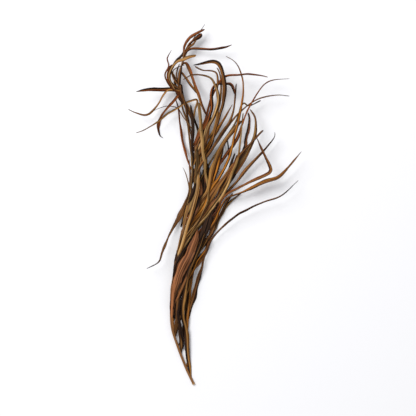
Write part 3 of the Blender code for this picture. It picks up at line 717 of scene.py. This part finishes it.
def dried_blade():
    """Dry leaf blade: long fibres in many browns, satin on its upper face and dull underneath.

    Each leaflet has its own tone, and a darker half is painted shade on the side of the fold turned
    from the lamp. Its ribs have bleached, its edges are darker, partly their own colour and partly
    painted shade in the gaps between leaflets, and dirt and mould have left small dark flecks.
    """
    material = bpy.data.materials.new("dried_palm_blade")
    material.use_nodes = True
    tree = material.node_tree
    shader = tree.nodes["Principled BSDF"]
    left_tone = add_node(tree, "ShaderNodeAttribute", attribute_name="left_tone")
    right_tone = add_node(tree, "ShaderNodeAttribute", attribute_name="right_tone")
    seed = add_node(tree, "ShaderNodeAttribute", attribute_name="seed").outputs["Fac"]
    across = add_node(tree, "ShaderNodeAttribute", attribute_name="across").outputs["Fac"]
    face = add_node(tree, "ShaderNodeAttribute", attribute_name="face").outputs["Fac"]
    part = add_node(tree, "ShaderNodeAttribute", attribute_name="part").outputs["Fac"]
    from_edge = add_node(tree, "ShaderNodeAttribute", attribute_name="from_edge").outputs["Fac"]
    fibres = add_node(tree, "ShaderNodeSeparateXYZ", {0: add_node(tree, "ShaderNodeUVMap", uv_map="fibres")})
    lift = add_node(tree, "ShaderNodeMath", {0: seed, 1: SEED_STRIDE}, operation="MULTIPLY")

    def streaks(width, length, detail):
        spot = add_node(tree, "ShaderNodeCombineXYZ", {
            "X": add_node(tree, "ShaderNodeMath", {0: fibres.outputs["X"], 1: width}, operation="DIVIDE"),
            "Y": add_node(tree, "ShaderNodeMath", {0: fibres.outputs["Y"], 1: length}, operation="DIVIDE"),
            "Z": lift})
        return add_node(tree, "ShaderNodeTexNoise", {"Vector": spot, "Scale": 1.0, "Detail": detail})

    fine = streaks(FIBRE_WIDTH, FIBRE_LENGTH, 3.0)
    broad = streaks(BAND_WIDTH, BAND_LENGTH, 2.0)
    darker = add_node(tree, "ShaderNodeMapRange", {
        "Value": broad, "From Min": 0.50, "From Max": 0.60, "To Min": 0.0, "To Max": 0.9})
    paler = add_node(tree, "ShaderNodeMapRange", {
        "Value": broad, "From Min": 0.45, "From Max": 0.34, "To Min": 0.0, "To Max": 0.6})
    threads = add_node(tree, "ShaderNodeMapRange", {
        "Value": fine, "From Min": 0.48, "From Max": 0.66, "To Min": 0.0, "To Max": 0.7})
    outward = add_node(tree, "ShaderNodeMath", {0: across}, operation="ABSOLUTE")
    ridge = add_node(tree, "ShaderNodeMapRange", {
        "Value": outward, "From Min": 0.02, "From Max": 0.12, "To Min": 0.35, "To Max": 0.0})
    # Darker towards the edges: partly the dried edges' own colour, partly painted shade for the gaps between
    # leaflets.
    margin = add_node(tree, "ShaderNodeMapRange", {
        "Value": from_edge, "From Min": MARGIN_WIDTH, "From Max": 0.3, "To Min": 0.0, "To Max": 0.8})
    under = add_node(tree, "ShaderNodeMapRange", {
        "Value": face, "From Min": 1.0, "From Max": -1.0, "To Min": 0.0, "To Max": 0.45})
    worn = add_node(tree, "ShaderNodeMapRange", {
        "Value": part, "From Min": 0.75, "From Max": 1.0, "To Min": 0.0, "To Max": 0.35})
    flecks = add_node(tree, "ShaderNodeTexNoise", {
        "Vector": add_node(tree, "ShaderNodeTexCoord").outputs["Object"],
        "Scale": 1 / (FLECK_SIZE * MM), "Detail": 2.0})
    fleck = add_node(tree, "ShaderNodeMapRange", {
        "Value": flecks, "From Min": 0.66, "From Max": 0.74, "To Min": 0.0, "To Max": 0.6})

    # The halves take the left and right tones. Some pairs are a leaflet's own two colours, but a darker half
    # is painted shade on the side of the fold turned from the lamp.
    half = add_node(tree, "ShaderNodeMapRange", {
        "Value": across, "From Min": -0.06, "From Max": 0.06, "To Min": 0.0, "To Max": 1.0})
    shade = add_node(tree, "ShaderNodeMix", {0: half, 6: left_tone, 7: right_tone},
                     data_type="RGBA").outputs[2]
    for amount, gain in ((paler, PALER), (ridge, RIDGE_WORN), (under, UNDERSIDE), (darker, DARKER),
                         (threads, DARK_FIBRE), (margin, EDGE_DARK_AND_SHADE), (worn, OLD_TIP), (fleck, MOULD)):
        shade = add_node(tree, "ShaderNodeMix", {0: amount, 6: shade, 7: (*gain, 1.0)},
                         data_type="RGBA", blend_type="MULTIPLY").outputs[2]
    tree.links.new(shade, shader.inputs["Base Color"])
    polish = add_node(tree, "ShaderNodeMapRange", {
        "Value": fine, "From Min": 0.3, "From Max": 0.7, "To Min": 0.5, "To Max": 0.72})
    tree.links.new(polish.outputs[0], shader.inputs["Roughness"])
    relief = add_node(tree, "ShaderNodeBump", {
        "Height": fine, "Distance": FIBRE_RELIEF * MM, "Strength": 0.8})
    tree.links.new(relief.outputs[0], shader.inputs["Normal"])
    shader.inputs["Specular IOR Level"].default_value = 0.14
    return material


FIBRE_WIDTH = 1.1
FIBRE_LENGTH = 80.0
FIBRE_RELIEF = 0.3
BAND_WIDTH = 2.6
BAND_LENGTH = 110.0
FLECK_SIZE = 4.0
MARGIN_WIDTH = 1.3
PALER = (1.9, 1.9, 1.8)
RIDGE_WORN = (1.6, 1.65, 1.7)
UNDERSIDE = (0.75, 0.85, 1.0)
DARKER = (0.20, 0.14, 0.08)
DARK_FIBRE = (0.36, 0.28, 0.20)
EDGE_DARK_AND_SHADE = (0.22, 0.16, 0.10)
OLD_TIP = (0.35, 0.3, 0.3)
MOULD = (0.15, 0.14, 0.14)


def leaflets(name, rows):
    """One piece: these leaflets laid on the pile in turn, from the lowest to the highest."""
    strands = []
    for row in rows:
        lines[row[0]] = lay(pile, row, stalk_line)
        strands.append(strand(row[0], row[1], lines[row[0]]))
    routes = route_mesh(name + "_routes", strands)
    piece = plain_mesh(name, routes, blades, {**LEAFLET_SIZES, "Material": leaf})
    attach(piece, "root")
    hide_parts("frond")
    return piece


pile = Pile()
lines = {}
blades = leaflet_tree()
leaf = dried_blade()
heart = random.Random(HEART_SEED)
under_heart = heart_rows(heart, HEART_UNDER, stalk_line)
over_heart = [("over_" + row[0], *row[1:]) for row in heart_rows(heart, HEART_OVER, stalk_line)[::-1]]
leaflets("leaflets_under", under_heart + list(UNDER_STALK))
stalk_radii = 0.5 * spread(STALK_WIDTHS, len(stalk_line))
pile.add(stalk_line[:, :2], stalk_radii, stalk_line[:, 2] + stalk_radii)


# The crown. The last leaflets of the frond, at the stalk's tip: thin, tightly folded, and curled
# over to the left and round each other as they dried.

CROWN = (
    ("tip_sheath", "brown dark", (5, 9, 10, 9, 9, 6), 24,
     ((-8, 660), (-22, 705), (-34, 740), (-34, 770), (-29, 797))),
    ("knot_dark", "dark", (3, 8, 9, 8, 5), 18, ((-18, 690), (-30, 712), (-40, 735), (-46, 760))),
    ("knot_fold", "brown dark", (4, 9, 9, 6), 20, ((-10, 680), (-20, 705), (-27, 730), (-30, 752))),
    ("knot_outer", "russet dark", (3, 6, 7, 6, 4), 22,
     ((-30, 718), (-50, 742), (-63, 765), (-60, 790), (-50, 800))),
    ("crown_thread", "tan", (2, 2.4, 2.4, 2, 1.2), 24, ((4, 868), (20, 885), (29, 902))),
    ("crown_sweep", "russet", (4, 6, 8, 8, 7, 5), 26,
     ((-21, 830), (-21, 850), (-10, 866), (8, 877), (30, 887))),
    ("crown_inner", "russet dark", (3, 5, 5, 5, 6, 11, 9), 20,
     ((-21, 824), (-10, 850), (3, 862), (15, 870), (22, 878))),
    ("crown_low", "brown", (3, 6, 6, 3), 14, ((-22, 822), (-13, 840), (0, 850), (9, 864))),
    ("crown_right", "russet dark", (4, 6, 6, 6, 6, 2), 36,
     ((-23, 812), (-15, 834), (4, 841), (45, 837), (75, 841), (97, 849))),
    ("crown_left", "brown dark", (4, 6, 6, 6, 5, 3), 24,
     ((-21, 838), (-28, 822), (-42, 808), (-55, 787), (-62, 768), (-52, 746))),
    ("knot_bow", "russet", (3, 4.5, 4, 4, 4, 3, 1.2), 34,
     ((-45, 735), (-60, 752), (-69, 775), (-61, 797), (-64, 815), (-53, 835))),
    ("knot_inner", "brown", (3, 6, 6, 6, 4), 24, ((-42, 735), (-57, 760), (-55, 788), (-42, 803))),
    ("knot_cross", "brown dark", (3, 5, 5, 5, 3), 20, ((-38, 742), (-46, 766), (-56, 790))),
    ("knot_mid", "brown", (3, 4, 4, 4, 2), 16, ((-36, 740), (-39, 765), (-40, 785), (-34, 803))),
    ("knot_thread", "tan", (2, 2.4, 2.4, 1.6), 26, ((-50, 783), (-35, 794), (-20, 800))),
    ("tan_tip", "pale tan", (3, 4, 4, 5, 6, 10, 8), 42,
     ((-48, 742), (-59, 768), (-52, 790), (-38, 806), (-24, 811), (-8, 819), (8, 823))),
)
leaflets("leaflets_crown", CROWN)


# The leaflets that left the bundle on its left side. Some hook back on themselves, and long thin
# ones sweep far out to the left.

LEFT = (
    ("thin_left", "tan", (2, 2.4, 2.4, 2, 1.2), 32, ((-38, 692), (-62, 697), (-82, 692), (-98, 684))),
    ("left_hook", "russet", (4, 8, 7, 5, 6, 8, 5, 1.2), 2,
     ((-34, 735), (-45, 713), (-62, 694), (-80, 675), (-88, 648), (-82, 625), (-75, 619))),
    ("left_wave", "tan brown", (4, 5, 6, 5, 5, 5, 4, 2), 32,
     ((-36, 734), (-60, 738), (-72, 726), (-87, 702), (-104, 680), (-120, 674), (-145, 681), (-161, 689))),
    ("left_bar", "russet dark", (4, 10, 10, 9, 7, 2), 46,
     ((-28, 728), (-45, 738), (-80, 738), (-120, 735), (-141, 731))),
    ("left_tan", "tan", (3, 5, 5, 5, 5, 5, 4, 3, 2), 40,
     ((12, 712), (-10, 709), (-34, 696), (-60, 679), (-88, 656), (-120, 637), (-142, 629))),
    ("left_red", "russet", (3, 5, 6, 6, 5, 5, 3), 3,
     ((-3, 535), (-15, 570), (-27, 617), (-33, 655), (-38, 695), (-43, 714))),
    ("left_thin", "tan", (2, 3, 3, 1.2), 18, ((-9, 470), (-12, 505), (-18, 528), (-25, 544))),
    ("left_olive", "olive brown", (3, 4, 5, 5, 5, 4), 14,
     ((-4, 560), (-8, 600), (-13, 645), (-22, 682), (-30, 706))),
    ("left_inner", "brown dark", (3, 4, 5, 5, 4), 14, ((-4, 600), (-9, 650), (-17, 690), (-27, 728))),
)
leaflets("leaflets_left", LEFT)


# The fan. The middle and right leaflets of the upper half, broad ones that arch over at the top
# and long ones that lean out to the right.

FAN = (
    # Rows with GAP as their lift are fillers sunk between the leaflets; the dark ones are painted shade in
    # the gaps.
    ("column", "dark", (3, 6, 7, 10, 9, 4), GAP,
     ((2, 520), (0, 560), (-1, 600), (0, 640), (-3, 670), (-7, 700))),
    ("inner_olive", "olive dark", (3, 6, 6, 6, 4), GAP,
     ((-14, 450), (-6, 480), (-3, 510), (-2, 540), (-4, 575))),
    ("inner_brown", "brown dark", (3, 7, 8, 7, 4), GAP,
     ((4, 490), (10, 530), (16, 570), (18, 600), (20, 635))),
    ("inner_dark", "dark", (3, 7, 8, 6, 3), GAP, ((2, 500), (6, 530), (8, 555), (12, 585))),
    ("middle_brown", "brown tan", (3, 7, 8, 8, 5), GAP,
     ((34, 520), (32, 550), (31, 575), (29, 610), (27, 640))),
    ("arch_shade", "dark", (3, 6, 6, 4), GAP, ((30, 560), (38, 595), (46, 615), (52, 640))),
    ("shade_fan", "dark", (3, 7, 8, 6, 4), GAP,
     ((42, 490), (49, 520), (57, 547), (67, 568), (75, 598))),
    ("shade_right", "dark", (3, 6, 7, 7, 4), GAP,
     ((66, 492), (82, 520), (90, 540), (98, 560), (106, 580))),
    ("shade_edge", "dark", (3, 5, 6, 6, 4), GAP,
     ((88, 500), (104, 525), (112, 548), (121, 572), (130, 600))),
    ("thin_dark", "dark", (2, 4, 4, 2), GAP, ((90, 570), (89, 590), (86, 615))),
    ("left_line", "brown", (2, 4, 4, 4, 2), GAP,
     ((-18, 445), (-12, 475), (-9, 505), (-8, 535), (-10, 565))),
    ("line_tan", "tan", (2, 3, 3, 2), GAP, ((-3, 500), (1, 530), (-1, 560), (-3, 590))),
    ("dark_branch", "dark", (3, 6, 7, 6, 3), 12, ((20, 600), (14, 634), (1, 668), (-6, 696))),
    ("hidden_pale", "pale", (3, 7, 9, 9, 6), 10, ((0, 560), (8, 590), (13, 620), (15, 642))),
    ("long_spike", "russet", (4, 6, 6, 6, 6, 5, 2), 52,
     ((25, 650), (44, 712), (62, 752), (80, 770), (110, 773), (140, 775), (186, 766))),
    ("loop_right", "russet dark", (4, 9, 11, 10, 8, 8, 8, 8, 4), 34,
     ((35, 655), (47, 690), (46, 725), (54, 749), (76, 753), (96, 750), (106, 723))),
    ("peak_under", "brown", (3, 5, 5, 5, 5, 4), 36,
     ((58, 690), (60, 740), (61, 774), (50, 783), (24, 785), (4, 795))),
    ("peak_inner", "tan", (3, 6, 6, 6, 5, 3), 26,
     ((52, 640), (64, 695), (69, 740), (67, 778), (60, 793))),
    ("peak", "brown dark", (4, 7, 8, 8, 8, 9, 10, 10, 9, 3), 54,
     ((45, 600), (57, 640), (70, 682), (78, 720), (79, 752), (68, 792), (52, 804), (24, 800), (1, 796))),
    ("sweep_inner", "brown dark", (4, 6, 7, 7, 6, 3), 34,
     ((-31, 786), (-19, 767), (-8, 751), (2, 739), (9, 727))),
    ("arch_leg", "russet brown", (5, 8, 9, 9, 9, 8, 7, 4), 46,
     ((-28, 798), (-19, 806), (-8, 785), (1, 760), (9, 738), (18, 710), (29, 684), (36, 672))),
    ("wide_arch", "pale brown", (6, 14, 16, 14, 10, 8, 7, 6, 5, 4, 2), 44,
     ((25, 600), (38, 640), (55, 680), (64, 722), (50, 758), (28, 771), (0, 772), (-25, 760))),
    ("side_thin", "amber", (3, 6, 8, 8, 6, 2), 16, ((45, 610), (64, 642), (85, 677), (98, 702))),
    ("side_long", "brown", (3, 5, 7, 7, 6, 5, 3), 30,
     ((50, 595), (70, 630), (92, 660), (103, 692), (106, 730), (109, 752))),
    ("fan_top", "brown", (4, 6, 7, 7, 6, 5, 4, 3, 3, 2), 40,
     ((40, 580), (70, 622), (103, 666), (135, 697), (165, 715), (205, 723), (240, 720))),
    ("fan_second", "russet", (3, 5, 7, 8, 8, 6, 4, 3, 1.5), 40,
     ((100, 600), (118, 635), (136, 683), (152, 712), (176, 748), (205, 762), (240, 763))),
    ("fan_short", "olive", (3, 5, 5, 3), 14, ((103, 650), (123, 700), (140, 696), (170, 710))),
    ("amber_shade", "amber dark", (3, 7, 8, 8, 5), GAP,
     ((46, 490), (54, 515), (61, 542), (69, 568), (76, 606))),
    ("right_wide", "tan brown", (4, 8, 10, 13, 13, 11, 9, 6), 24,
     ((36, 480), (43, 510), (49, 540), (64, 580), (84, 616), (122, 660))),
    ("amber", "amber", (3, 9, 12, 10, 8, 7, 6, 6, 5, 4, 3, 2), 46,
     ((25, 440), (42, 482), (66, 520), (90, 568), (106, 628), (121, 700), (124, 760), (107, 800),
      (81, 818))),
)
leaflets("leaflets_fan", FAN)


# The bundle. The lowest leaflets have closed up round the stalk and lie along it, over all the
# others, in one dense sheaf.

BUNDLE = (
    ("rim_red", "red brown", (3, 7, 10, 11, 11, 9, 6), 6,
     ((-42, 110), (-50, 150), (-53, 200), (-50, 245), (-45, 280), (-40, 310))),
    # Rows with GAP as their lift are fillers sunk between the leaflets; the dark ones are painted shade in
    # the gaps.
    ("gap_left", "dark", (3, 6, 8, 8, 5), GAP, ((-30, 395), (-20, 430), (-9, 458), (0, 482), (6, 505))),
    ("gap_middle", "dark", (3, 7, 8, 8, 7, 4), GAP,
     ((-6, 410), (6, 440), (14, 465), (19, 487), (24, 507), (28, 540))),
    ("gap_right", "dark", (3, 8, 9, 9, 8, 4), GAP,
     ((8, 435), (22, 462), (28, 485), (34, 507), (38, 528), (36, 556))),
    ("gap_edge", "dark", (3, 6, 7, 6, 4), GAP, ((38, 415), (58, 448), (70, 475), (83, 500), (98, 528))),
    ("gap_red", "dark", (3, 8, 10, 10, 6), GAP,
     ((-8, 330), (14, 362), (26, 388), (34, 412), (46, 442))),
    ("gap_strand", "dark", (3, 7, 9, 9, 5), GAP,
     ((4, 330), (24, 362), (35, 385), (42, 405), (52, 440))),
    ("gap_low", "dark", (3, 7, 9, 9, 6), GAP,
     ((-50, 190), (-42, 225), (-30, 258), (-16, 290), (-2, 322))),
    ("gap_rim", "dark", (3, 6, 8, 8, 6), GAP,
     ((-50, 270), (-43, 300), (-32, 325), (-20, 345), (-8, 368))),
    ("gap_heel", "dark", (3, 6, 7, 6, 4), GAP,
     ((-26, 90), (-26, 130), (-17, 180), (-14, 225), (-8, 260))),
    ("thread_red", "red", (2, 3, 3.5, 3, 2), GAP, ((6, 335), (18, 362), (28, 386), (38, 412))),
    ("thread_brown", "brown", (2, 3, 3.5, 3, 2), GAP, ((16, 338), (29, 366), (37, 390), (44, 418))),
    ("thread_russet", "russet", (2, 3, 3, 2), GAP, ((22, 372), (30, 395), (40, 425))),
    ("thread_low", "olive", (2, 4, 5, 5, 3), GAP,
     ((-14, 120), (-19, 165), (-17, 200), (-13, 240), (-5, 278))),
    ("red_second", "brown tan", (4, 7, 8, 8, 7, 3), 8,
     ((-8, 380), (12, 412), (43, 460), (68, 500), (98, 545))),
    ("fan_tan", "pale olive", (3, 6, 8, 9, 8, 6, 4, 3), 5,
     ((62, 455), (84, 492), (100, 536), (112, 573), (120, 620), (126, 680))),
    ("centre_tan", "brown tan", (4, 7, 8, 8, 8, 5), 8,
     ((-40, 310), (-19, 360), (-4, 400), (9, 430), (26, 460), (38, 490))),
    ("left_short", "tan", (3, 5, 6, 5), 6, ((-45, 300), (-38, 335), (-27, 390))),
    ("left_rim", "tan olive", (3, 4, 5, 5, 4, 2), 8,
     ((-34, 380), (-24, 410), (-16, 445), (-8, 475), (-3, 505))),
    ("pale_tan", "pale tan", (4, 9, 10, 10, 10, 10, 9, 6), 10,
     ((-42, 300), (-27, 350), (-13, 400), (3, 458), (11, 490), (14, 530), (20, 570))),
    ("pale_sweep", "pale olive", (2, 2.4, 3, 5, 7, 8, 9, 9, 9, 7), 24,
     ((14, 410), (28, 440), (37, 466), (36, 500), (29, 540), (24, 590), (21, 635), (17, 675), (14, 706))),
    ("hollow_red", "dark", (3, 9, 12, 12, 8, 3), GAP,
     ((14, 345), (24, 372), (32, 395), (40, 418), (50, 440))),
    ("thread_red", "red", (2, 3, 3.5, 3, 2), GAP, ((10, 340), (20, 366), (29, 390), (38, 412))),
    ("thread_brown", "brown", (2, 3, 3.5, 3, 2), GAP, ((20, 345), (31, 372), (39, 396), (46, 422))),
    ("line_left", "dark", (2, 6, 9, 8, 6, 3), GAP,
     ((-24, 415), (-16, 440), (-8, 462), (0, 485), (6, 505))),
    ("line_mid", "dark", (2, 5, 7, 6, 3), GAP, ((3, 430), (10, 458), (16, 480), (22, 500))),
    ("strand_short", "brown amber", (3, 5, 6, 5, 3), 8,
     ((0, 285), (10, 308), (24, 329), (36, 346), (45, 368))),
    ("strand_thin", "tan", (2, 3.5, 4, 4, 3), 8,
     ((-12, 235), (-3, 290), (11, 322), (25, 346), (38, 365))),
    ("strand_dark", "red brown", (4, 6, 6, 6, 4), 8,
     ((-50, 180), (-37, 221), (-21, 260), (-6, 300), (10, 336))),
    ("red_long", "red tan", (3, 6, 8, 9, 10, 11, 10, 9, 9, 8, 4), 12,
     ((-50, 240), (-40, 295), (-21, 340), (12, 400), (30, 428), (54, 460), (77, 500), (100, 545),
      (110, 575))),
    ("red_wide", "red", (4, 8, 12, 15, 22, 25, 24, 21, 15, 3), 8,
     ((-52, 150), (-50, 200), (-46, 235), (-39, 262), (-32, 281), (-22, 302), (-12, 321), (-3, 340),
      (5, 361), (13, 392))),
    ("line_rim", "dark", (1.5, 4, 5, 5, 4, 1.5), GAP,
     ((-42, 290), (-25, 322), (-15, 340), (-5, 360), (5, 378), (15, 395))),
    ("line_red", "dark", (1.5, 4, 5, 5, 5, 5, 4, 1.5), GAP,
     ((-47, 208), (-36, 240), (-28, 260), (-12, 290), (2, 320), (9, 337), (13, 355), (18, 380))),
    ("line_inner", "dark", (1.5, 3, 3, 3, 1.5), GAP,
     ((-8, 262), (0, 290), (6, 305), (12, 318), (19, 330))),
    ("line_heel", "dark", (2, 5, 7, 7, 5, 2), GAP,
     ((-22, 150), (-18, 180), (-14, 205), (-12, 230), (-6, 262), (0, 285))),
    ("heel_dark", "dark", (3, 6, 8, 8, 6, 3), 6,
     ((-24, 100), (-31, 140), (-37, 180), (-33, 212), (-25, 243), (-16, 268))),
    ("heel_inner", "brown amber", (3, 6, 7, 7, 6, 5, 5, 4), 6,
     ((-14, 60), (-16, 110), (-14, 160), (-10, 210), (-4, 255), (6, 302), (24, 329))),
    ("heel_left", "dark tan", (3, 6, 7, 7, 6, 4), 6,
     ((-29, 72), (-31, 100), (-35, 150), (-38, 190), (-30, 235))),
    ("heel_right", "dark tan", (5, 10, 12, 12, 9, 11, 10, 7, 6, 5, 4), 8,
     ((-6, 17), (-13, 70), (-18, 135), (-26, 170), (-25, 205), (-18, 245), (-10, 288), (6, 322),
      (30, 380))),
)
leaflets("leaflets_heart", over_heart)
leaflets("leaflets_bundle", BUNDLE)


# The table that the frond lies on, a large soft lamp up on the left with a pale room round it, and
# the camera straight above. None of it is part of the object.

TABLE_SIZE = 8.0
VIEW_CENTRE = (-0.0170, -0.0079)
VIEW_WIDTH = 1.04
LENS = 125.0
SENSOR = 36.0
MEAN_HEIGHT = 0.015
LAMP_PLACE = (-3.4, 3.0, 4.6)
LAMP_SIZE = 3.6
LAMP_POWER = 380.0
ROOM_LIGHT = 0.58


def pale_board():
    """Painted board: matt and almost white, so that shadows on it stay soft and neutral."""
    material = bpy.data.materials.new("white_painted_board")
    material.use_nodes = True
    shader = material.node_tree.nodes["Principled BSDF"]
    shader.inputs["Base Color"].default_value = colour("#f4f4f5")
    shader.inputs["Roughness"].default_value = 0.9
    shader.inputs["Specular IOR Level"].default_value = 0.1
    return material


bpy.ops.mesh.primitive_plane_add(size=TABLE_SIZE)
table = bpy.context.object
table.name = "table"
table.data.materials.append(pale_board())

world = bpy.data.worlds.new("room")
bpy.context.scene.world = world
world.use_nodes = True
background = world.node_tree.nodes["Background"]
background.inputs["Color"].default_value = colour("#fbfbff")
background.inputs["Strength"].default_value = ROOM_LIGHT

lamp = bpy.data.objects.new("lamp", bpy.data.lights.new("lamp", "AREA"))
lamp.data.shape = "SQUARE"
lamp.data.size = LAMP_SIZE
lamp.data.energy = LAMP_POWER
lamp.location = LAMP_PLACE
lamp.rotation_euler = (-Vector(LAMP_PLACE)).to_track_quat("-Z", "Y").to_euler()
bpy.context.scene.collection.objects.link(lamp)

camera = bpy.data.objects.new("camera", bpy.data.cameras.new("camera"))
camera.data.lens = LENS
camera.data.sensor_width = SENSOR
camera.location = (*VIEW_CENTRE, MEAN_HEIGHT + VIEW_WIDTH * LENS / SENSOR)
bpy.context.scene.collection.objects.link(camera)
bpy.context.scene.camera = camera
bpy.context.scene.view_settings.view_transform = "Standard"
